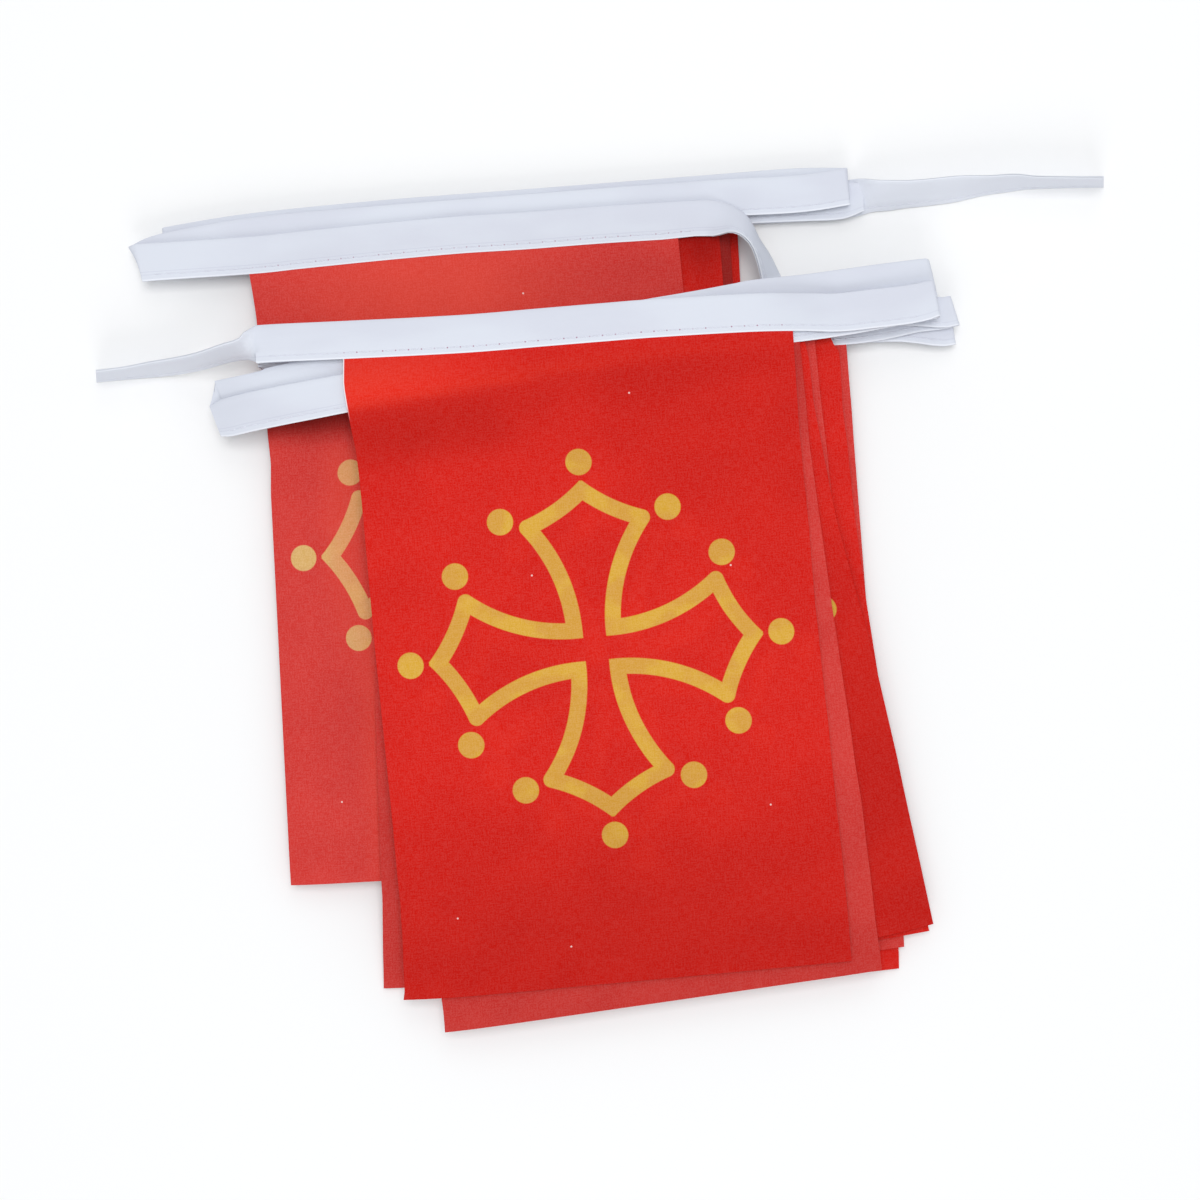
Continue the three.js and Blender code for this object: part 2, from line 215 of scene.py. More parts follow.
# Runs of the tape with their flags, from the top of the front stack to the bottom of the rear one.
# slant: how far the folded edge is further right than square, at the left and the right end of the run.
# edges: places along the run, and how far the open and the folded edge are moved inwards there.
# left, right: shares of the flag's height, and how far that side of it bows to the right there.
# print_moved: how far the print is off its usual place, across and up the flag.
FRONT = [
    dict(
        name="flag_01", x=-61.6, y=-128.2, turn=5.3, lean=5.2,
        path=[
            (-108.1, 79.95), (-79.5, 81.15), (-43.8, 82.95), (-18.8, 84.95), (0, 86.45), (18.8, 87.85),
            (60.2, 90.15), (75, 90.55), (85.7, 91.75), (97.3, 93.15), (105.8, 94.95),
        ],
        edges=[(102, 0, 0), (104.5, 0.15, 0), (105.8, 0.5, 0)],
        left=[
            (0, -1.2), (0.01, -0.7), (0.03, -0.3), (0.06, 0), (0.08, 0.5), (0.09, 0.6), (0.11, 1),
            (0.14, 1.3), (0.15, 1.6), (0.28, 1.7), (0.56, 1.2), (0.75, 1.3), (0.82, 1.2), (0.86, 0.9),
            (0.89, 0.1), (0.93, -0.7), (0.96, -1.1), (1, -0.3), (1.1, 0),
        ],
        right=[
            (0, 2.2), (0.06, 2.3), (0.22, 1.5), (0.25, 1.3), (0.35, 1.1), (0.38, 1.1), (0.45, 0.7),
            (0.51, 0.6), (0.57, 0.3), (0.7, 0.5), (0.85, 0.1), (1, 0.9),
        ],
        print_moved=(-0.55, 0),
    ),
    dict(
        name="flag_02", x=-49.45, y=-138.65, turn=8.27, lean=7.5,
        path=[
            (105.8, 95.05), (85.9, 91.25), (61, 86.85), (39.1, 83.75), (0.6, 78.95), (-37.5, 72.05),
            (-78.8, 64.85), (-104.1, 60.25), (-122.9, 56.95),
        ],
        slant=(-2.3, 0),
        edges=[(-122.9, 0.9, 1.4), (-119.5, 0.1, 0.3), (-115, 0, 0)],
        left=[(0, -0.1), (0.03, 0.35), (0.1, 0.4)],
        right=[
            (0, 0.9), (0.08, 0.8), (0.14, 1), (0.2, 0.9), (0.27, 1.1), (0.33, 0.6), (0.38, 0.6),
            (0.48, 0.1), (0.52, 0), (0.58, -0.3), (0.84, -1), (0.91, -0.4), (1, 0),
        ],
    ),
    dict(
        name="flag_03", x=-30.1, y=-133.55, turn=12, lean=13.6,
        path=[
            (-120.2, 63.45), (-112.2, 64.75), (-105.5, 66.15), (-96.3, 68.45), (-20, 82.25), (0, 85.65),
            (16, 88.35), (32, 91.05), (45, 93.55), (51.4, 94.75), (104.6, 102.25),
        ],
        slant=(-3.2, -1.5),
        right=[
            (0, 0.2), (0.1, 0.6), (0.2, 0.9), (0.28, 1.3), (0.43, 1.4), (0.5, 1.1), (0.51, 0.9),
            (0.66, -0.3), (0.72, 0), (0.86, 1.1), (0.92, 2.8), (1, 2.9),
        ],
        print_moved=(-0.4, 0),
    ),
    dict(
        name="flag_04", x=-52.2, y=-123.15, turn=6, lean=5.5,
        path=[
            (105.4, 101.65), (68.6, 96.85), (40, 92.25), (10, 86.75), (-20, 83.75), (-70.6, 81.25),
            (-106.8, 80.25),
        ],
        slant=(0, -1.5),
        right=[(0, 0), (0.54, 0), (0.73, 0.3), (0.79, 0.1), (0.85, -0.3), (0.92, -0.5), (1, -0.5)],
    ),
    dict(
        name="flag_05", x=-33, y=-129.05, turn=9, lean=9.6,
        path=[
            (-107, 80.05), (-67, 76.65), (-20, 80.75), (20, 86.75), (50, 91.75), (72, 94.25), (92, 93.65),
            (103, 93.25), (109.5, 92.85), (112.4, 93.45),
        ],
        slant=(0, -0.6),
        edges=[(96, 0, 0), (103, 0, 1.8), (112, 0, 2.4)],
        right=[
            (0, 0.9), (0.05, 0), (0.1, 0), (0.35, -2), (0.54, -1.8), (0.67, -1.1), (0.72, -0.7),
            (0.74, -0.4), (0.8, 0.3), (0.86, 0.7), (0.92, 2.1), (0.95, 2.6), (0.97, 0.5), (1, 0.3),
        ],
    ),
    dict(
        name="flag_06", x=-42, y=-128.15, turn=6.5, lean=5.3,
        path=[
            (112.4, 93.35), (109.5, 92.55), (101, 91.45), (90, 89.05), (78, 87.45), (62, 86.55),
            (30, 85.25), (0, 82.75), (-61.2, 78.95), (-107, 79.65),
        ],
        slant=(0, -0.6),
        edges=[(96, 0, 0), (103, 0, 1.8), (112, 0, 2.4)],
        right=[(0, 1), (0.02, 1.2), (0.08, -0.1), (0.57, -1.1), (0.84, -0.5), (0.89, -0.3), (1, -0.2)],
    ),
    dict(
        name="flag_07", x=-42.4, y=-133.05, turn=5.6, lean=5.6,
        path=[
            (-107.2, 79.45), (-62.6, 75.05), (20, 82.85), (62, 86.85), (78, 87.65), (86, 88.45),
            (95.6, 88.75), (102, 88.25), (109.4, 87.35), (112.6, 87.75),
        ],
        right=[(0, -0.3), (0.03, 0.2), (0.45, -0.9), (0.59, -1.1), (0.85, -0.5), (0.9, -0.3), (1, -0.2)],
    ),
    dict(
        name="flag_08", x=-69.2, y=-125.85, turn=2, lean=1.4,
        path=[
            (112.6, 87.85), (109.4, 87.55), (98, 89.25), (64.5, 88.65), (0, 84.85), (-72.8, 79.85),
            (-107.4, 79.65),
        ],
        left=[(0, -0.7), (0.06, -0.4), (0.15, 0.5), (0.29, 0.1), (0.38, 0), (1, 0)],
    ),
    dict(
        name="flag_09", x=-61.4, y=-126.55, turn=3.2, lean=3,
        path=[(-107.6, 79.45), (-71.6, 78.05), (0, 83.85), (66.2, 88.45), (90.8, 89.05)],
    ),
]
REAR = [
    dict(
        name="flag_10", x=-99.2, y=-91.95, turn=3.2, lean=3,
        path=[
            (34.4, 121.85), (6.4, 120.15), (-6.4, 119.25), (-25.5, 117.75), (-44.8, 116.55),
            (-70.5, 114.25), (-96, 111.65), (-111.6, 110.05), (-147.2, 107.65),
        ],
        slant=(-1, 0),
        edges=[(20, 0, 0), (30, 0.5, 0), (34.4, 0.3, 0)],
        left=[
            (0, 0), (0.5, 0.2), (0.64, 0.25), (0.69, 0.8), (0.74, 0.2), (0.78, 0), (0.93, -1.5), (1, -2.8),
        ],
        right=[(0, 0), (0.5, -1.5), (0.85, -4), (0.92, -4.3), (1, -5.1)],
        print_moved=(-1.6, -2),
    ),
    dict(
        name="flag_11", x=-86.2, y=-85.75, turn=4.5, lean=4.5,
        path=[
            (-147.4, 107.85), (-139.4, 111.35), (-112.8, 116.25), (-82.8, 119.25), (-38.3, 122.75),
            (32, 128.15), (63, 129.95), (78.6, 132.25),
        ],
        slant=(-1, 0),
    ),
    dict(
        name="flag_12", x=-84.7, y=-83.25, turn=4, lean=4,
        path=[
            (78.8, 132.65), (62, 132.45), (32.3, 130.15), (-24.3, 125.75), (-70.1, 122.25),
            (-112.7, 117.95), (-139, 113.65),
        ],
    ),
    dict(
        name="flag_13", x=-83.9, y=-85.25, turn=3.4, lean=3.4,
        path=[(-139.2, 113.45), (-112.3, 115.65), (-38.5, 121.15), (43.3, 126.75), (84.6, 128.35)],
        edges=[(74, 0, 0), (79, 0.4, 0), (82, 1.5, 0), (84.6, 2.6, 0)],
    ),
    dict(
        name="flag_14", x=-90.7, y=-83.55, turn=2.6, lean=2.6,
        path=[(82.6, 129.05), (43.6, 126.65), (-38.8, 120.05), (-113.1, 114.55), (-135.8, 113.05)],
        edges=[(74, 0, 0), (79, 0.6, 0), (82.6, 2, 0)],
    ),
    dict(
        name="flag_15", x=-84.3, y=-84.55, turn=3.2, lean=3.2,
        path=[(-136, 113.15), (-113.3, 115.05), (-38.9, 120.95), (43.7, 127.25), (80.9, 129.75)],
    ),
]
RUNS = FRONT + REAR
LINK_LAYER = len(REAR)

# The tape between the stacks and its ties: place, roll about its length, height (None is on the ground).
LINK = [
    (73.2, 89.15, 0, 2.4), (68, 90.05, -9, 2.3), (63.6, 91.45, -20, 2.8), (60, 93.65, -30, 3.6),
    (57.3, 97.25, -41, 4.5), (55, 102.85, -52, 5.8), (52.2, 109.45, -61, 8.4), (48.9, 114.35, -65, 11.2),
    (45.3, 118.65, -49, 11.6), (41, 121.15, -29, 10),
]
LEFT_TIE = [
    (-161.82, 71.55, 80, None), (-152.2, 72.55, 80, None), (-143, 73.75, 75, 6.5), (-135.2, 74.55, 73, 8.6),
    (-127.2, 75.65, 72.5, 12), (-118.2, 77.65, 70, 16.1), (-111.3, 78.95, 59, 18.1),
]
RIGHT_TIE = [
    (87.3, 129.75, 43, None), (93.2, 129.85, 50, None), (98, 130.15, 56, None), (105.1, 130.75, 58, None),
    (114.7, 131.85, 60, None), (124, 132.85, 72, None), (132.2, 133.65, 76, None),
    (138.9, 133.75, 84, None), (150.9, 133.85, 87, None), (161.75, 133.95, 88, None),
]


# Lines and heights

def smooth_line(points, step):
    """Points of any number of columns, step apart in plan along a smooth line through the given ones."""
    known = np.array([points[0], *points, points[-1]], float)
    shares = np.linspace(0, 1, 200, endpoint=False)[:, None]
    fine = []
    for a, b, c, d in zip(known, known[1:], known[2:], known[3:]):
        start, end = (c - a) / 2, (d - b) / 2
        fine.append(
            (2 * b - 2 * c + start + end) * shares**3
            + (3 * c - 3 * b - 2 * start - end) * shares**2
            + start * shares
            + b
        )
    fine = np.vstack([*fine, known[-1:]])
    along = np.concatenate([[0], np.cumsum(np.hypot(*np.diff(fine[:, :2], axis=0).T))])
    at = np.linspace(0, along[-1], max(2, round(along[-1] / step) + 1))
    return np.column_stack([np.interp(at, along, column) for column in fine.T])


def directions(line):
    """The unit direction of travel at each point of a line in plan."""
    ahead = np.vstack([line[1:], line[-1:]])
    behind = np.vstack([line[:1], line[:-1]])
    step = (ahead - behind)[:, :2]
    return step / np.linalg.norm(step, axis=1)[:, None]


def across_tape(travel, rightward):
    """The direction in plan from the flags to the tape's folded edge."""
    side = 1 if rightward else -1
    return np.column_stack([-travel[:, 1], travel[:, 0]]) * side


def distance_to_line(points, line):
    """How far each point is from a line in plan."""
    best = np.full(len(points), np.inf)
    for a, b in zip(line, line[1:]):
        along = b - a
        share = np.clip((points - a) @ along / (along @ along), 0, 1)
        best = np.minimum(best, np.linalg.norm(points - a - share[:, None] * along, axis=1))
    return best


def is_inside(points, corners):
    """Which points are inside a convex outline whose corners go round to the left."""
    inside = np.ones(len(points), bool)
    for a, b in zip(corners, np.roll(corners, -1, axis=0)):
        inside &= (b - a)[0] * (points - a)[:, 1] - (b - a)[1] * (points - a)[:, 0] >= 0
    return inside


def smoothstep(value, low, high):
    share = np.clip((value - low) / (high - low), 0, 1)
    return share * share * (3 - 2 * share)


for index, run in enumerate(RUNS):
    run["layer"] = len(RUNS) - 1 - index + (1 if index < len(FRONT) else 0)
    run["rightward"] = index % 2 == 0
    run["line"] = smooth_line(np.array(run["path"]) * MM, TAPE_STEP)
    run["rough"] = smooth_line(np.array(run["path"]) * MM, ROUGH_STEP)
    outward = across_tape(directions(run["line"]), run["rightward"])
    run["seam"] = run["line"] - outward * TAPE_WIDTH / 2
    turn, lean = math.radians(run["turn"]), math.radians(run["lean"])
    run["corner"] = np.array([run["x"], run["y"]]) * MM
    run["along"] = np.array([math.cos(turn), math.sin(turn)])
    run["up"] = np.array([-math.sin(lean), math.cos(lean)])


def lengths_to_seam(run, bases):
    """The length of a flag from each place on its lower edge up to the tape's edge."""
    beside = np.array([run["up"][1], -run["up"][0]])
    seam = run["seam"][np.argsort(run["seam"] @ beside)]
    at = np.interp(bases @ beside, seam @ beside, seam @ run["up"])
    return at - bases @ run["up"]


for run in RUNS:
    ends = run["corner"] + np.outer([0, FLAG_WIDTH], run["along"])
    tops = ends + np.outer(lengths_to_seam(run, ends), run["up"])
    run["corners"] = np.array([ends[0], ends[1], tops[1], tops[0]])

link_line = np.array([FRONT[-1]["path"][-1], *[row[:2] for row in LINK]]) * MM
LINK_START = link_line[1]


def support(layer, points):
    """How much of one layer's height a sheet still gives at each point to what lies over it."""
    run = next((r for r in RUNS if r["layer"] == layer), None)
    away = distance_to_line(points, run["rough"] if run else link_line) - TAPE_WIDTH / 2
    if run:
        outline = np.vstack([run["corners"], run["corners"][:1]])
        edge = np.where(is_inside(points, run["corners"]), 0, distance_to_line(points, outline))
        away = np.minimum(away, edge)
    return 1 - smoothstep(away, EDGE_CLEAR, EDGE_CLEAR + (DROOP if run else LINK_DROOP))


def heights(layer, points):
    """The height of the middle of a sheet in a layer, at each point."""
    held = sum((support(under, points) for under in range(layer)), np.zeros(len(points)))
    return held * PITCH + SHEET / 2


# Meshes

def mesh_object(name, points, faces, materials, uv=None, slots=None):
    """A piece from points and faces, with a UV pair for each point and a material number for each face."""
    mesh = bpy.data.meshes.new(name)
    mesh.from_pydata(np.asarray(points).tolist(), [], np.asarray(faces).tolist())
    for material in materials:
        mesh.materials.append(material)
    if slots is not None:
        mesh.polygons.foreach_set("material_index", np.asarray(slots, np.int32))
    mesh.shade_smooth()
    mesh.update()
    piece = bpy.data.objects.new(name, mesh)
    bpy.context.scene.collection.objects.link(piece)
    if uv is not None:
        add_uv(piece, "cloth", uv)
    return piece


def add_uv(piece, name, uv):
    """A UV layer from a pair for each point."""
    layer = piece.data.uv_layers.new(name=name)
    corner_points = np.empty(len(piece.data.loops), np.int32)
    piece.data.loops.foreach_get("vertex_index", corner_points)
    layer.data.foreach_set("uv", np.asarray(uv, np.float32)[corner_points].ravel())


def point_values(piece, name, values):
    attribute = piece.data.attributes.new(name, "FLOAT", "POINT")
    attribute.data.foreach_set("value", np.asarray(values, np.float32))


def grid_faces(rows, columns, start=0, closed=False):
    """Quads between neighbouring rows of points. A closed grid joins its last column to its first."""
    count = columns if closed else columns - 1
    row, column = np.meshgrid(np.arange(rows - 1), np.arange(count), indexing="ij")
    after = (column + 1) % columns
    near = start + row * columns
    far = near + columns
    return np.stack([near + column, near + after, far + after, far + column], -1).reshape(-1, 4)


def thick_sheet(name, middle, uv, thickness, materials, faces_up, edge_slot):
    """A closed sheet round a grid of middle points: upper side, lower side and the cut edge between."""
    rows, columns = middle.shape[:2]
    normals = np.cross(np.gradient(middle, axis=1), np.gradient(middle, axis=0))
    normals /= np.linalg.norm(normals, axis=2)[..., None]
    count = rows * columns
    points = np.vstack([(middle + side * normals * thickness / 2).reshape(-1, 3) for side in (1, -1)])
    upper = grid_faces(rows, columns)
    lower = grid_faces(rows, columns, count)[:, ::-1]
    order = np.arange(count).reshape(rows, columns)
    border = np.concatenate([order[0, :-1], order[:-1, -1], order[-1, :0:-1], order[:0:-1, 0]])
    after = np.roll(border, -1)
    rim = np.stack([border, border + count, after + count, after], -1)
    slots = np.concatenate([
        np.full(len(upper), faces_up), np.full(len(lower), 1 - faces_up), np.full(len(rim), edge_slot),
    ])
    faces = np.vstack([upper, lower, rim])
    piece = mesh_object(name, points, faces, materials, np.tile(uv.reshape(-1, 2), (2, 1)), slots)
    piece.data.set_sharp_from_angle(angle=math.radians(SHARP_ANGLE))
    return piece


# Flags

def ripples(points, size, height, seed):
    """Low uneven waves in a sheet."""
    return np.array([
        noise.noise(Vector((x / size, y / size, seed))) for x, y in points
    ]) * height


def white_behind(run, points):
    """How much white tape lies right behind the cloth at each point, from 0 to 1."""
    below = next((r for r in RUNS if r["layer"] == run["layer"] - 1), None)
    if below is None:
        return np.zeros(len(points))
    away = distance_to_line(points, below["rough"]) - TAPE_WIDTH / 2
    return 1 - smoothstep(away, -SHOW_EDGE, SHOW_EDGE)


def flag(run, number, materials):
    """A flag: a thin sheet draped over what lies under it, with its top inside the tape."""
    columns = round(FLAG_WIDTH / GRID_STEP) + 1
    across = np.linspace(0, 1, columns)
    bases = run["corner"] + np.outer(across * FLAG_WIDTH, run["along"])
    lengths = lengths_to_seam(run, bases)
    rows = round(lengths.mean() / GRID_STEP) + 1
    up = np.linspace(0, 1, rows)[:, None] * lengths
    inside = np.arange(1, round(FLAG_INSIDE_TAPE / GRID_STEP) + 1)[:, None] * GRID_STEP + lengths
    up = np.vstack([up, inside])
    straight = [(0, 0), (1, 0)]
    bows = [np.array(run.get(side, straight)).T for side in ("left", "right")]
    left, right = (np.interp(up / lengths, *bow) for bow in bows)
    bow = (left * (1 - across) + right * across) * MM
    plan = bases + up[..., None] * run["up"] + bow[..., None] * run["along"]
    flat = plan.reshape(-1, 2)
    backed = white_behind(run, flat)
    loose = smoothstep((lengths - up).ravel(), 0, LOOSE_FROM_SEAM)
    height = heights(run["layer"], flat) + TAPE_RELIEF * backed * loose
    height += loose * ripples(flat, RIPPLE_SIZE, RIPPLE_HEIGHT, number)
    middle = np.concatenate([plan, height.reshape(*up.shape, 1)], axis=2)
    uv = np.stack([np.broadcast_to(across * FLAG_WIDTH, up.shape), up], axis=-1)
    places = uv.reshape(-1, 2)
    piece = thick_sheet(
        f"cloth_{number:02d}", middle, uv, FLAG_THICKNESS, materials, 0 if run["rightward"] else 1, 2,
    )
    point_values(piece, "white_behind", np.tile(backed * loose, 2))
    # Painted shade and painted light at each point.
    point_values(piece, "painted_shade_and_light", np.tile(painted_shade_and_light_at(run["name"], places), 2))
    point_values(piece, "edge_highlight", np.tile(edge_highlight(run, places), 2))
    moved = np.array(run.get("print_moved", (0, 0))) * MM
    add_uv(piece, "print", np.tile(places - moved, (2, 1)))
    add_uv(piece, "below", np.tile(places_on_flag_below(run, flat), (2, 1)))
    return piece


def painted_shade_and_light_at(name, places):
    """How much painted light or painted shade a flag has at each place on it."""
    total = np.zeros(len(places))
    for flag_name, across, up, reach_across, reach_up, strength in PAINTED_SHADE_AND_LIGHT:
        if flag_name == name:
            away = (places / MM - (across, up)) / (reach_across, reach_up)
            total += strength * (1 - smoothstep(np.hypot(*away.T), 0.1, 1))
    return total


def edge_highlight(run, places):
    """How strong the painted highlight along the left edge is at each height: 0 on every flag but the
    first.
    """
    return smoothstep(places[:, 1], EDGE_HIGHLIGHT_FROM, EDGE_HIGHLIGHT_FROM + EDGE_HIGHLIGHT_FADE) * (run is RUNS[0])


def places_on_flag_below(run, points):
    """Where each point lies on the next flag down, or far off it for the lowest flag."""
    lower = [r for r in RUNS if r["layer"] < run["layer"]]
    if not lower:
        return np.full(points.shape, -1.0)
    below = max(lower, key=lambda r: r["layer"])
    return (points - below["corner"]) @ np.linalg.inv(np.array([below["along"], below["up"]]))


# The tape

def tape_profile():
    """The tape's cross-section in the middle of its cloth: place across, height, outward direction."""
    half = TAPE_HALF_HEIGHT - LEAF_THICKNESS / 2
    leaf = [(place * MM - TAPE_WIDTH / 2, dip * MM) for place, dip in LEAF]
    turn = TAPE_WIDTH / 2 - LEAF_THICKNESS / 2 - half
    profile = [(across, half - dip, 0.0, 1.0) for across, dip in leaf]
    for angle in np.radians(FOLDED_EDGE_ANGLES):
        x, y = math.cos(angle), math.sin(angle)
        profile.append((turn + half * x, half * y, x, y))
    profile += [(across, dip - half, 0.0, -1.0) for across, dip in reversed(leaf)]
    return np.array(profile)


PROFILE = tape_profile()
OUTSIDE = PROFILE[:, :2] + PROFILE[:, 2:] * LEAF_THICKNESS / 2
INSIDE = PROFILE[:, :2] - PROFILE[:, 2:] * LEAF_THICKNESS / 2
RING = np.vstack([OUTSIDE, INSIDE[::-1]])
SEAM_PLACES = (SEAM_ROW, len(PROFILE) - 1 - SEAM_ROW)
RING_IS_BACK = np.concatenate([PROFILE[:, 1], PROFILE[::-1, 1]]) < 0


def on_stack(layer, places, outward, across=RING[None, :, 0]):
    """Where the tape's middle surface is for each section and each point of the ring."""
    plan = places[:, None, :] + across[..., None] * outward[:, None, :]
    height = heights(layer, plan.reshape(-1, 2)).reshape(plan.shape[:2])
    return np.dstack([plan, height])


def ring_sections(middles, faces):
    return middles + RING[None, :, 1:] * faces


def fade(away):
    """1 at a slanted end, 0 past its reach."""
    return 1 - np.clip(away / SLANT_REACH, 0, 1)


def slanted_across(run):
    """The direction across the tape at each place of a run."""
    outward = across_tape(directions(run["line"]), run["rightward"])
    left, right = run.get("slant", (0, 0))
    x = run["line"][:, 0]
    outward[:, 0] += (left * fade(x - x.min()) + right * fade(x.max() - x)) * MM / TAPE_WIDTH
    return outward


def places_across(run):
    """How far across the tape each point of the ring is, at each place of a run."""
    x, *moved = np.array(run.get("edges", [(0, 0, 0)])).T * MM
    open_edge, folded_edge = (np.interp(run["line"][:, 0], x, column)[:, None] for column in moved)
    share = RING[:, 0] / TAPE_WIDTH + 0.5
    return RING[:, 0] + open_edge * (1 - share) - folded_edge * share


def run_sections(run):
    middles = on_stack(run["layer"], run["line"], slanted_across(run), places_across(run))
    face = np.array([0, 0, 1.0 if run["rightward"] else -1.0])
    return middles, ring_sections(middles, face[None, None, :])


def free_sections(rows, rightward, start=None, end=None):
    """Sections of the tape off the stacks. start and end are the rows of the sections that it joins."""
    rows = [(x * MM, y * MM, standing(roll) if z is None else z * MM, roll) for x, y, roll, z in rows]
    rows = [start] * bool(start) + rows + [end] * bool(end)
    line = smooth_line(np.array(rows), TAPE_STEP)
    travel = directions(line)
    plan = across_tape(travel, rightward)
    roll = np.radians(line[:, 3])[:, None]
    across = np.hstack([plan * np.cos(roll), np.sin(roll)])
    if start is None or end is None:
        free_end, slant = (line[0], TIE_END_SLANT) if start is None else (line[-1], -TIE_END_SLANT)
        away = np.linalg.norm((line - free_end)[:, :2], axis=1)
        across[:, 0] += fade(away) * slant / TAPE_WIDTH
    ahead = np.hstack([travel, np.zeros((len(travel), 1))])
    face = np.cross(ahead, across)
    middles = line[:, None, :3] + RING[None, :, :1] * across[:, None, :]
    rings = ring_sections(middles, face[:, None, :])
    return middles[bool(start) : -1 if end else None], rings[bool(start) : -1 if end else None]


def standing(roll):
    """The height of the tape's middle where its lower edge is on the ground."""
    roll = math.radians(abs(roll))
    return TAPE_WIDTH / 2 * math.sin(roll) + SHEET / 2 * math.cos(roll)


def half_turn(start, end, outward):
    """Sections of a fold from one run's last middles to the next run's first ones."""
    drop = (start[:, 2] - end[:, 2])[:, None]
    across = np.array([-outward[1], outward[0], 0])
    across *= np.sign(across[1])
    out = np.array([*outward, 0])
    middles, rings = [], []
    for step in range(1, FOLD_STEPS):
        angle = math.pi * step / FOLD_STEPS
        share = (1 - math.cos(angle)) / 2
        middle = start + (end - start) * share + out * drop / 2 * math.sin(angle)
        travel = out * math.cos(angle) - np.array([0, 0, math.sin(angle)])
        face = np.cross(travel, across)
        middles.append(middle)
        rings.append(middle + RING[:, 1:] * face)
    return np.array(middles), np.array(rings)


def tape_parts():
    """The tape's ties, runs, folds and link in order: kind, middles, rings and where a flag is inside."""
    first, last = RUNS[0], RUNS[-1]
    parts = [("tie", *free_sections(LEFT_TIE, True, end=stack_row(first, 0)))]
    for index, run in enumerate(RUNS):
        middles, rings = run_sections(run)
        parts.append(("run", middles, rings, holds_flag(run)))
        if run is last:
            break
        outward = directions(run["line"])[-1]
        if index == len(FRONT) - 1:
            place = run["line"][-1:]
            away = LINK_START - place[0]
            turned = across_tape((away / np.linalg.norm(away))[None], False)
            under = on_stack(LINK_LAYER, place, turned)[0]
            parts.append(("fold", *half_turn(middles[-1], under, outward)))
            begin = (*place[0], heights(LINK_LAYER, place)[0], 0)
            middles, rings = free_sections(LINK, False, start=begin, end=stack_row(REAR[0], 0))
            parts.append(("link", np.concatenate([under[None], middles]), np.concatenate([
                (under - RING[:, 1:] * np.array([0, 0, 1.0]))[None], rings,
            ])))
        else:
            following = run_sections(RUNS[index + 1])[0][0]
            parts.append(("fold", *half_turn(middles[-1], following, outward)))
    parts.append(("tie", *free_sections(RIGHT_TIE, True, start=stack_row(last, -1))))
    return [part if len(part) == 4 else (*part, np.zeros(len(part[2]))) for part in parts]


def holds_flag(run):
    """1 where the tape has its flag inside, 0 past the flag's sides."""
    below = run["seam"] - across_tape(directions(run["line"]), run["rightward"]) * SEAM_UP
    return is_inside(below, run["corners"]).astype(float)


def stack_row(run, which):
    """Place, height and roll of a run's first or last section."""
    place = run["line"][which][None]
    outward = across_tape(directions(run["line"]), run["rightward"])[which][None]
    low, high = (heights(run["layer"], place + side * outward * TAPE_WIDTH / 2)[0] for side in (-1, 1))
    return (*place[0], heights(run["layer"], place)[0], math.degrees(math.atan2(high - low, TAPE_WIDTH)))


def header_tape(parts, material):
    """The tape's one closed sheet, and how far along it each of its sections is."""
    rings = np.concatenate([rings for _, _, rings, _ in parts])
    count, size = rings.shape[:2]
    middle_line = rings.mean(axis=1)
    along = np.concatenate([[0], np.cumsum(np.linalg.norm(np.diff(middle_line, axis=0), axis=1))])
    faces = [grid_faces(count, size, closed=True)]
    half = size // 2
    for start, turned in ((0, 1), ((count - 1) * size, -1)):
        k = np.arange(half - 1)
        cap = np.stack([start + k, start + k + 1, start + size - 2 - k, start + size - 1 - k], -1)
        faces.append(cap[:, ::turned])
    across = RING[:, 0] + np.where(RING_IS_BACK, BACK_LEAF, 0)
    uv = np.dstack([np.tile(along[:, None], size), np.tile(across, (count, 1))])
    piece = mesh_object(
        "header_tape", rings.reshape(-1, 3), np.vstack(faces), [material], uv.reshape(-1, 2),
    )
    point_values(piece, "holds_flag", np.repeat(np.concatenate([held for _, _, _, held in parts]), size))
    loose = np.concatenate([np.full(len(middles), kind == "tie", float) for kind, middles, _, _ in parts])
    point_values(piece, "loose", np.repeat(loose, size))
    piece.data.set_sharp_from_angle(angle=math.radians(SHARP_ANGLE))
    return piece, along


def stitch_points(line, along, face, centre):
    """Five rings of one stitch, which sinks into the cloth at both ends."""
    share, lift, girth = np.array(STITCH).T
    at = centre + STITCH_LENGTH * share
    middle = np.column_stack([np.interp(at, along, column) for column in line.T])
    up = np.column_stack([np.interp(centre, along, column) for column in face.T])[0]
    travel = middle[-1] - middle[0]
    travel /= np.linalg.norm(travel)
    side = np.cross(travel, up)
    angles = np.linspace(0, 2 * math.pi, THREAD_SIDES, endpoint=False)
    rings = []
    for place, rise, radius in zip(middle, THREAD_RADIUS * lift, THREAD_RADIUS * girth):
        round_it = np.outer(np.cos(angles), side) * THREAD_FLATNESS + np.outer(np.sin(angles), up)
        rings.append(place + up * rise + radius * round_it)
    return np.array(rings)


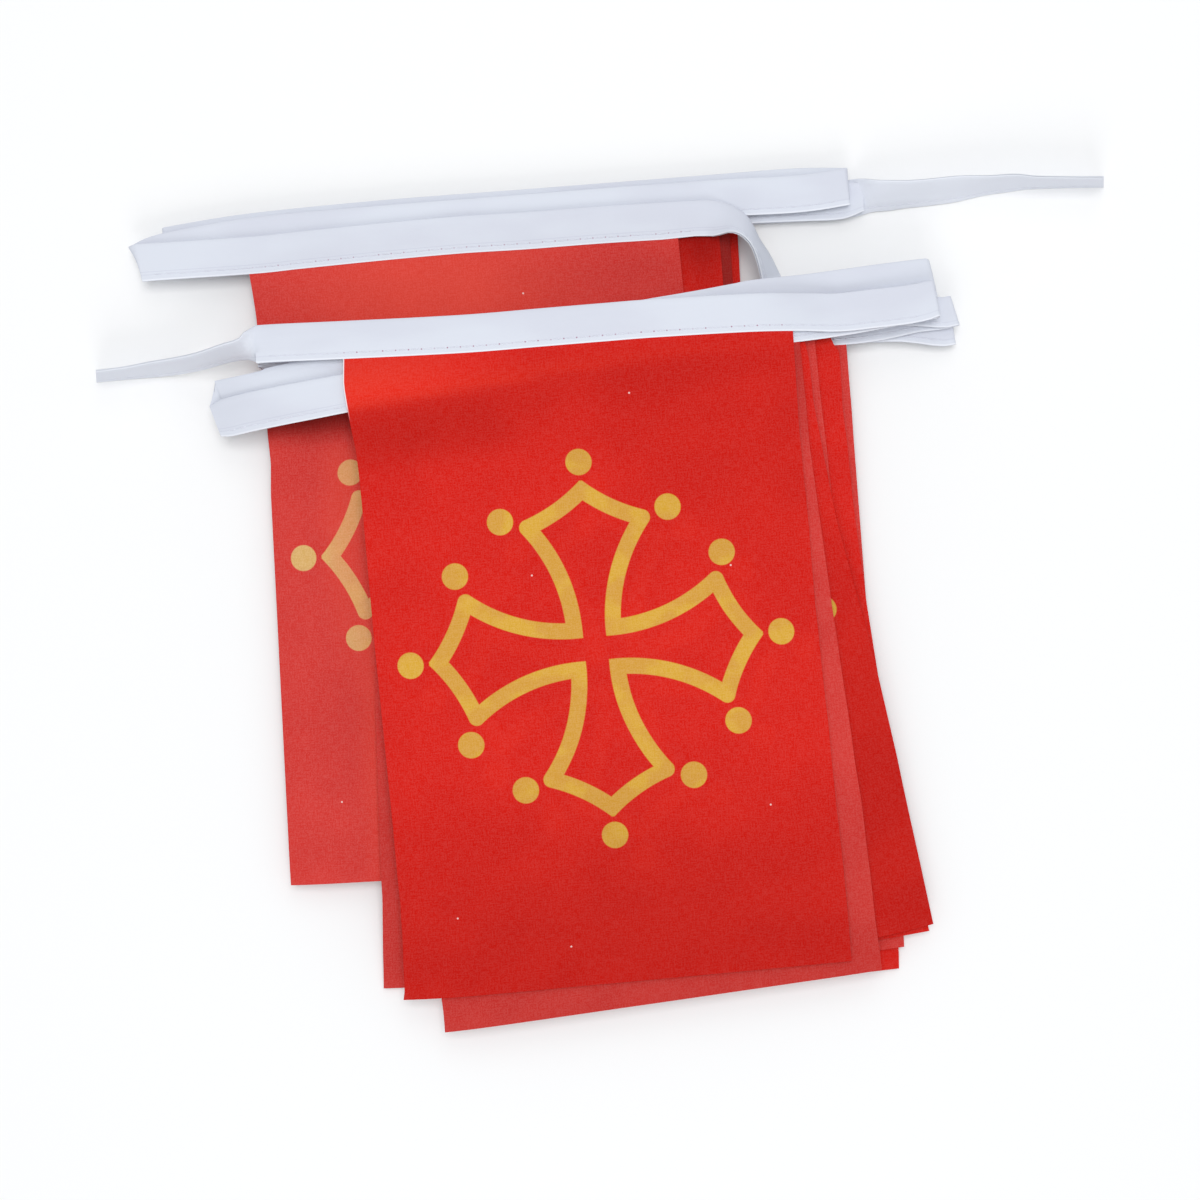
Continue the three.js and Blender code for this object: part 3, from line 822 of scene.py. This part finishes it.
def seam_thread(parts, along, material):
    """The stitches on both faces of the tape, left out where it folds."""
    points, faces = [], []
    start, total = 0, 0
    for kind, _, rings, _ in parts:
        span = along[start : start + len(rings)]
        start += len(rings)
        if kind == "fold":
            continue
        first = math.ceil((span[0] + STITCH_PITCH / 2) / STITCH_PITCH)
        last = math.floor((span[-1] - STITCH_PITCH / 2) / STITCH_PITCH)
        for place in SEAM_PLACES:
            line = rings[:, place]
            up = rings[:, place] - rings[:, len(RING) - 1 - place]
            up /= np.linalg.norm(up, axis=1)[:, None]
            for number in range(first, last):
                stitch = stitch_points(line, span, up, (number + 0.5) * STITCH_PITCH)
                points.append(stitch.reshape(-1, 3))
                faces.append(grid_faces(len(stitch), THREAD_SIDES, total, closed=True))
                for end in (0, len(stitch) - 1):
                    k = total + end * THREAD_SIDES
                    cap = np.array([[k, k + 1, k + 2, k + 3]])
                    faces.append(cap if end else cap[:, ::-1])
                total += stitch.shape[0] * THREAD_SIDES
    return mesh_object("seam_thread", np.vstack(points), np.vstack(faces), [material])


def face_outwards(piece):
    mesh = bmesh.new()
    mesh.from_mesh(piece.data)
    bmesh.ops.recalc_face_normals(mesh, faces=mesh.faces)
    mesh.to_mesh(piece.data)
    mesh.free()


# Materials

def srgb(red, green, blue):
    """A colour as read from a picture, 0 to 255, for a shader."""
    def linear(value):
        value /= 255
        return value / 12.92 if value <= 0.04045 else ((value + 0.055) / 1.055) ** 2.4

    return (linear(red), linear(green), linear(blue), 1.0)


class Cloth:
    """A material under construction, with short calls for the nodes that it is made of."""

    def __init__(self, name, roughness):
        self.material = bpy.data.materials.new(name)
        self.material.use_nodes = True
        self.nodes = self.material.node_tree.nodes
        self.links = self.material.node_tree.links
        self.shader = self.nodes["Principled BSDF"]
        self.shader.inputs["Roughness"].default_value = roughness
        self.shader.inputs["Specular IOR Level"].default_value = 0.05
        self.place, self.across, self.up = self.uv("cloth")

    def uv(self, name):
        """A UV layer, whole and as its two parts."""
        place = self.nodes.new("ShaderNodeUVMap")
        place.uv_map = name
        split = self.nodes.new("ShaderNodeSeparateXYZ")
        self.links.new(place.outputs["UV"], split.inputs[0])
        return place.outputs["UV"], split.outputs["X"], split.outputs["Y"]

    def set(self, socket, value):
        if isinstance(value, bpy.types.NodeSocket):
            self.links.new(value, socket)
        else:
            socket.default_value = value

    def math(self, operation, a, b=0.0):
        node = self.nodes.new("ShaderNodeMath")
        node.operation = operation
        self.set(node.inputs[0], a)
        self.set(node.inputs[1], b)
        return node.outputs[0]

    def lowest(self, *values):
        result = values[0]
        for value in values[1:]:
            result = self.math("MINIMUM", result, value)
        return result

    def highest(self, *values):
        result = values[0]
        for value in values[1:]:
            result = self.math("MAXIMUM", result, value)
        return result

    def distance(self, x, y, centre):
        dx = self.math("SUBTRACT", x, centre[0])
        dy = self.math("SUBTRACT", y, centre[1])
        square = self.math("ADD", self.math("MULTIPLY", dx, dx), self.math("MULTIPLY", dy, dy))
        return self.math("SQRT", square)

    def past(self, x, y, point, direction):
        """How far a place lies past a point in a direction."""
        dx = self.math("MULTIPLY", self.math("SUBTRACT", x, point[0]), direction[0])
        dy = self.math("MULTIPLY", self.math("SUBTRACT", y, point[1]), direction[1])
        return self.math("ADD", dx, dy)

    def share(self, value, low, high):
        """0 where the value is at low, 1 where it is at high, smooth between."""
        node = self.nodes.new("ShaderNodeMapRange")
        node.interpolation_type = "SMOOTHSTEP"
        self.set(node.inputs["Value"], value)
        node.inputs["From Min"].default_value = low
        node.inputs["From Max"].default_value = high
        return node.outputs["Result"]

    def mix(self, share, first, second, blend="MIX"):
        node = self.nodes.new("ShaderNodeMix")
        node.data_type = "RGBA"
        node.blend_type = blend
        self.set(node.inputs["Factor"], share)
        self.set(node.inputs["A"], first)
        self.set(node.inputs["B"], second)
        return node.outputs["Result"]

    def noise(self, along, across, detail=2.0, roughness=0.5, seed=0.0):
        """Noise whose grain is along by across metres on the cloth."""
        stretch = self.nodes.new("ShaderNodeMapping")
        self.links.new(self.place, stretch.inputs["Vector"])
        stretch.inputs["Scale"].default_value = (1 / along, 1 / across, 1)
        stretch.inputs["Location"].default_value = (seed, seed, 0)
        node = self.nodes.new("ShaderNodeTexNoise")
        node.noise_dimensions = "2D"
        node.inputs["Scale"].default_value = 1.0
        node.inputs["Detail"].default_value = detail
        node.inputs["Roughness"].default_value = roughness
        self.links.new(stretch.outputs["Vector"], node.inputs["Vector"])
        return node.outputs["Fac"]

    def specks(self, spacing, radius, seed):
        """Sparse round specks."""
        cells = self.nodes.new("ShaderNodeTexVoronoi")
        cells.voronoi_dimensions = "2D"
        cells.inputs["Scale"].default_value = 1 / spacing
        shift = self.nodes.new("ShaderNodeMapping")
        shift.inputs["Location"].default_value = (seed, seed * 2, 0)
        self.links.new(self.place, shift.inputs["Vector"])
        self.links.new(shift.outputs["Vector"], cells.inputs["Vector"])
        return self.share(cells.outputs["Distance"], 1.3 * radius / spacing, 0.7 * radius / spacing)

    def weave(self, pitch):
        """Threads over and under each other, from -1 to 1."""
        turn = 2 * math.pi / pitch
        warp = self.math("SINE", self.math("MULTIPLY", self.across, turn))
        weft = self.math("SINE", self.math("MULTIPLY", self.up, turn))
        return self.math("MULTIPLY", warp, weft)

    def value(self, name):
        """A value that the mesh has for each point."""
        node = self.nodes.new("ShaderNodeAttribute")
        node.attribute_name = name
        return node.outputs["Fac"]

    def bump(self, height, distance, strength=1.0):
        node = self.nodes.new("ShaderNodeBump")
        node.inputs["Strength"].default_value = strength
        node.inputs["Distance"].default_value = distance
        self.set(node.inputs["Height"], height)
        self.links.new(node.outputs["Normal"], self.shader.inputs["Normal"])

    def colour(self, value):
        self.set(self.shader.inputs["Base Color"], value)


def circle_through(a, b, c):
    """Centre and radius of the circle through three points."""
    a, b, c = (np.array(p, float) for p in (a, b, c))
    rows = 2 * np.array([b - a, c - a])
    centre = np.linalg.solve(rows, [b @ b - a @ a, c @ c - a @ a])
    return centre, np.linalg.norm(a - centre)


def tangent(centre, point, towards):
    """The unit direction of a circle at a point on it, on the side of another point."""
    radius = np.array(point) - centre
    line = np.array([-radius[1], radius[0]]) / np.linalg.norm(radius)
    return line * np.sign(line @ (np.array(towards) - np.array(point)))


def cross_print(cloth, across, up, edge):
    """1 on the cross's band and discs, 0 off them. An eighth of the cross is mirrored to the whole."""
    x = cloth.math("DIVIDE", cloth.math("SUBTRACT", across, FLAG_WIDTH / 2), CROSS_REACH)
    y = cloth.math("DIVIDE", cloth.math("SUBTRACT", up, CROSS_UP), CROSS_REACH)
    x, y = cloth.math("ABSOLUTE", x), cloth.math("ABSOLUTE", y)
    x, y = cloth.math("MINIMUM", x, y), cloth.math("MAXIMUM", x, y)
    half = BAND_WIDTH / 2

    side_centre, side_radius = circle_through(INNER_CORNER, LIMB_WAIST, SHOULDER)
    side = cloth.math("ABSOLUTE", cloth.math("SUBTRACT", cloth.distance(x, y, side_centre), side_radius))
    side_end = cloth.past(x, y, SHOULDER, -tangent(side_centre, SHOULDER, LIMB_WAIST))
    side = cloth.highest(cloth.math("SUBTRACT", side, half), side_end)

    chord = np.array(TIP) - np.array(SHOULDER)
    inward = np.array([-chord[1], chord[0]]) / np.linalg.norm(chord)
    inward *= -np.sign(inward[1])
    sagged = (np.array(TIP) + np.array(SHOULDER)) / 2 + inward * TIP_SAG
    end_centre, end_radius = circle_through(SHOULDER, sagged, TIP)
    end = cloth.math("ABSOLUTE", cloth.math("SUBTRACT", cloth.distance(x, y, end_centre), end_radius))
    before = cloth.past(x, y, SHOULDER, -tangent(end_centre, SHOULDER, TIP))
    end = cloth.highest(cloth.math("SUBTRACT", end, half), before, cloth.math("SUBTRACT", y, TIP_CUT))

    shoulder = cloth.math("SUBTRACT", cloth.distance(x, y, SHOULDER), half)
    side_disc = cloth.math("SUBTRACT", cloth.distance(x, y, SIDE_DISC), DISC_RADIUS)
    tip_disc = cloth.math("SUBTRACT", cloth.distance(x, y, (0.0, 1.0)), DISC_RADIUS)
    away = cloth.lowest(side, end, shoulder, side_disc, tip_disc)
    return cloth.share(away, edge, -edge)


def flag_side(name, colours, grain, show):
    """One side of the flags' cloth: the print, what shows through it from behind, its grain, and painted
    shade, painted light and a painted edge highlight.
    """
    colours = {key: srgb(*colour) for key, colour in colours.items()}
    cloth = Cloth(name, 0.85)
    mottle = cloth.share(cloth.noise(38 * MM, 30 * MM, 3.0, 0.55, 3.0), 0.3, 0.7)
    field = cloth.mix(mottle, colours["field"], colours["deep"])
    ghost = cross_print(cloth, *cloth.uv("below")[1:], GHOST_EDGE)
    behind = cloth.math("MULTIPLY", cloth.value("white_behind"), show)
    behind = cloth.highest(behind, cloth.math("MULTIPLY", ghost, GHOST))
    field = cloth.mix(behind, field, colours["backed"])
    patches = cloth.share(cloth.noise(14 * MM, 11 * MM, 2.0, 0.5, 7.0), 0.45, 0.65)
    metal = cloth.mix(patches, colours["gold"], colours["bright_gold"])
    print_share = cross_print(cloth, *cloth.uv("print")[1:], PRINT_EDGE)
    base = cloth.mix(print_share, field, metal)

    warp = cloth.noise(0.4 * MM, 3 * MM, 1.0, 0.5, 1.0)
    weft = cloth.noise(3 * MM, 0.4 * MM, 1.0, 0.5, 2.0)
    dots = cloth.noise(0.45 * MM, 0.45 * MM, 1.0, 0.6, 5.0)
    threads = cloth.math("ADD", warp, weft)
    grains = cloth.share(cloth.math("ADD", threads, cloth.math("MULTIPLY", dots, 2.0)), 1.4, 2.6)
    strength = cloth.math("ADD", cloth.math("MULTIPLY", print_share, grain), grain)
    base = cloth.mix(cloth.math("MULTIPLY", grains, strength), base, srgb(*LINT))
    grooves = cloth.math("SUBTRACT", 1.0, grains)
    base = cloth.mix(cloth.math("MULTIPLY", grooves, strength), base, srgb(*GRAIN_DARK_AND_PAINTED_SHADE))

    # Painted light and painted shade from their table, mixed over the grain.
    painted_shade_and_light = cloth.value("painted_shade_and_light")
    lighter = cloth.math("MAXIMUM", painted_shade_and_light, 0.0)
    darker = cloth.math("MAXIMUM", cloth.math("MULTIPLY", painted_shade_and_light, -1.0), 0.0)
    base = cloth.mix(lighter, base, srgb(*PAINTED_LIGHT))
    base = cloth.mix(darker, base, srgb(*GRAIN_DARK_AND_PAINTED_SHADE))
    lint = cloth.specks(LINT_SPACING, LINT_RADIUS, 0.4)
    base = cloth.mix(cloth.math("MULTIPLY", lint, LINT_STRENGTH), base, srgb(*LINT))
    # The painted highlight along the first flag's left edge.
    rim = cloth.share(cloth.across, EDGE_HIGHLIGHT_WIDTH, EDGE_HIGHLIGHT_CORE)
    rim = cloth.math("MULTIPLY", rim, cloth.value("edge_highlight"))
    cloth.colour(cloth.mix(rim, base, srgb(*PAINTED_EDGE_HIGHLIGHT)))
    cloth.bump(cloth.weave(FLAG_WEAVE), FLAG_WEAVE_DEPTH)
    return cloth.material


def cut_edge():
    cloth = Cloth("cut_edge", 0.7)
    fray = cloth.share(cloth.noise(0.8 * MM, 0.8 * MM, 2.0), 0.5, 0.8)
    cloth.colour(cloth.mix(fray, srgb(*CUT_EDGE), srgb(*FRAYED_EDGE)))
    return cloth.material


def tape_cloth():
    """White tape. Its UV runs along the tape and across it from the open edge to the fold."""
    cloth = Cloth("white_tape", 0.75)
    shade = cloth.share(cloth.noise(46 * MM, 16 * MM, 2.0, 0.5, 4.0), 0.35, 0.7)
    base = cloth.mix(shade, srgb(*TAPE_WHITE), srgb(*TAPE_SHADE))
    back = cloth.math("GREATER_THAN", cloth.up, BACK_LEAF / 2)
    from_edge = cloth.math("SUBTRACT", cloth.up, cloth.math("MULTIPLY", back, BACK_LEAF))
    from_edge = cloth.math("ADD", from_edge, TAPE_WIDTH / 2)
    base = cloth.mix(cloth.share(from_edge, SEAM_UP, SEAM_UP - 0.5 * MM), base, srgb(*TAPE_HEM))
    # A painted highlight along the rim of the open edge.
    base = cloth.mix(cloth.share(from_edge, 0.6 * MM, 0.3 * MM), base, srgb(*TAPE_RIM_HIGHLIGHT))
    # Painted light over the ties.
    base = cloth.mix(cloth.math("MULTIPLY", cloth.value("loose"), TIE_PAINTED_LIGHT), base, srgb(*TAPE_RIM_HIGHLIGHT))

    from_seam = cloth.math("SUBTRACT", from_edge, SEAM_UP)
    groove = cloth.share(cloth.math("ABSOLUTE", from_seam), 0.32 * MM, 0.05 * MM)
    base = cloth.mix(cloth.math("MULTIPLY", groove, 0.2), base, srgb(*SEAM_SHADE))
    second = cloth.math("ABSOLUTE", cloth.math("SUBTRACT", from_seam, 0.9 * MM))
    second = cloth.share(second, 0.2 * MM, 0.05 * MM)
    second = cloth.math("MULTIPLY", second, cloth.math("MULTIPLY", back, 0.3))
    base = cloth.mix(second, base, srgb(*SEAM_SHADE))
    along = cloth.math("PINGPONG", cloth.across, STITCH_PITCH / 2)
    hole = cloth.share(cloth.distance(along, from_seam, (0.0, 0.0)), HOLE_RIM, HOLE_CORE)
    strength = cloth.share(cloth.noise(5 * MM, 5 * MM, 1.0, 0.5, 9.0), 0.2, 0.55)
    through = cloth.math("SUBTRACT", 1.0, cloth.math("MULTIPLY", back, 0.3))
    strength = cloth.math("MULTIPLY", strength, through)
    strength = cloth.math("MULTIPLY", strength, cloth.value("holds_flag"))
    base = cloth.mix(cloth.math("MULTIPLY", hole, strength), base, srgb(*NEEDLE_HOLE))
    cloth.colour(base)
    creases = cloth.noise(60 * MM, 7 * MM, 2.0, 0.5, 6.0)
    relief = cloth.math("ADD", cloth.weave(TAPE_WEAVE), cloth.math("MULTIPLY", creases, TAPE_CREASES))
    cloth.bump(relief, TAPE_WEAVE_DEPTH)
    return cloth.material


def thread():
    cloth = Cloth("white_thread", 0.6)
    cloth.colour(srgb(*THREAD))
    return cloth.material


# The scene

def place_camera():
    data = bpy.data.cameras.new("camera")
    data.sensor_width = SENSOR_WIDTH
    data.lens = data.sensor_width / 2 / HALF_VIEW
    camera = bpy.data.objects.new("camera", data)
    camera.location = (0, CAMERA_Y, CAMERA_HEIGHT)
    bpy.context.scene.collection.objects.link(camera)
    bpy.context.scene.camera = camera


def soft_light(name, place, size, power):
    """A square lamp that faces the middle of the floor."""
    data = bpy.data.lights.new(name, "AREA")
    data.size = size
    data.energy = power
    light = bpy.data.objects.new(name, data)
    light.location = place
    light.rotation_euler = (-Vector(place)).to_track_quat("-Z", "Y").to_euler()
    bpy.context.scene.collection.objects.link(light)


def light_the_scene():
    world = bpy.data.worlds.new("studio")
    world.use_nodes = True
    sky = world.node_tree.nodes["Background"]
    sky.inputs["Color"].default_value = WORLD_COLOUR
    sky.inputs["Strength"].default_value = WORLD_LIGHT
    bpy.context.scene.world = world
    for name, place, size, power in LAMPS:
        soft_light(name, place, size, power)
    bpy.context.scene.view_settings.view_transform = "Standard"


def pale_floor():
    bpy.ops.object.select_all(action="DESELECT")
    bpy.ops.mesh.primitive_plane_add(size=FLOOR_SIZE)
    floor = bpy.context.object
    floor.name = "floor"
    material = bpy.data.materials.new("floor")
    material.use_nodes = True
    shader = material.node_tree.nodes["Principled BSDF"]
    shader.inputs["Base Color"].default_value = FLOOR_COLOUR
    shader.inputs["Roughness"].default_value = 0.9
    floor.data.materials.append(material)


place_camera()
light_the_scene()
pale_floor()

flag_materials = [
    flag_side("flag_print", PRINTED_SIDE, PRINTED_GRAIN, PRINTED_SHOW),
    flag_side("flag_back", BACK_SIDE, BACK_GRAIN, BACK_SHOW),
    cut_edge(),
]
for number, run in enumerate(RUNS, 1):
    piece = flag(run, number, flag_materials)
    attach(piece, "root")
    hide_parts(run["name"])

parts = tape_parts()
tape, along = header_tape(parts, tape_cloth())
face_outwards(tape)
stitches = seam_thread(parts, along, thread())
face_outwards(stitches)
for piece in (tape, stitches):
    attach(piece, "root")
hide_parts("tape")
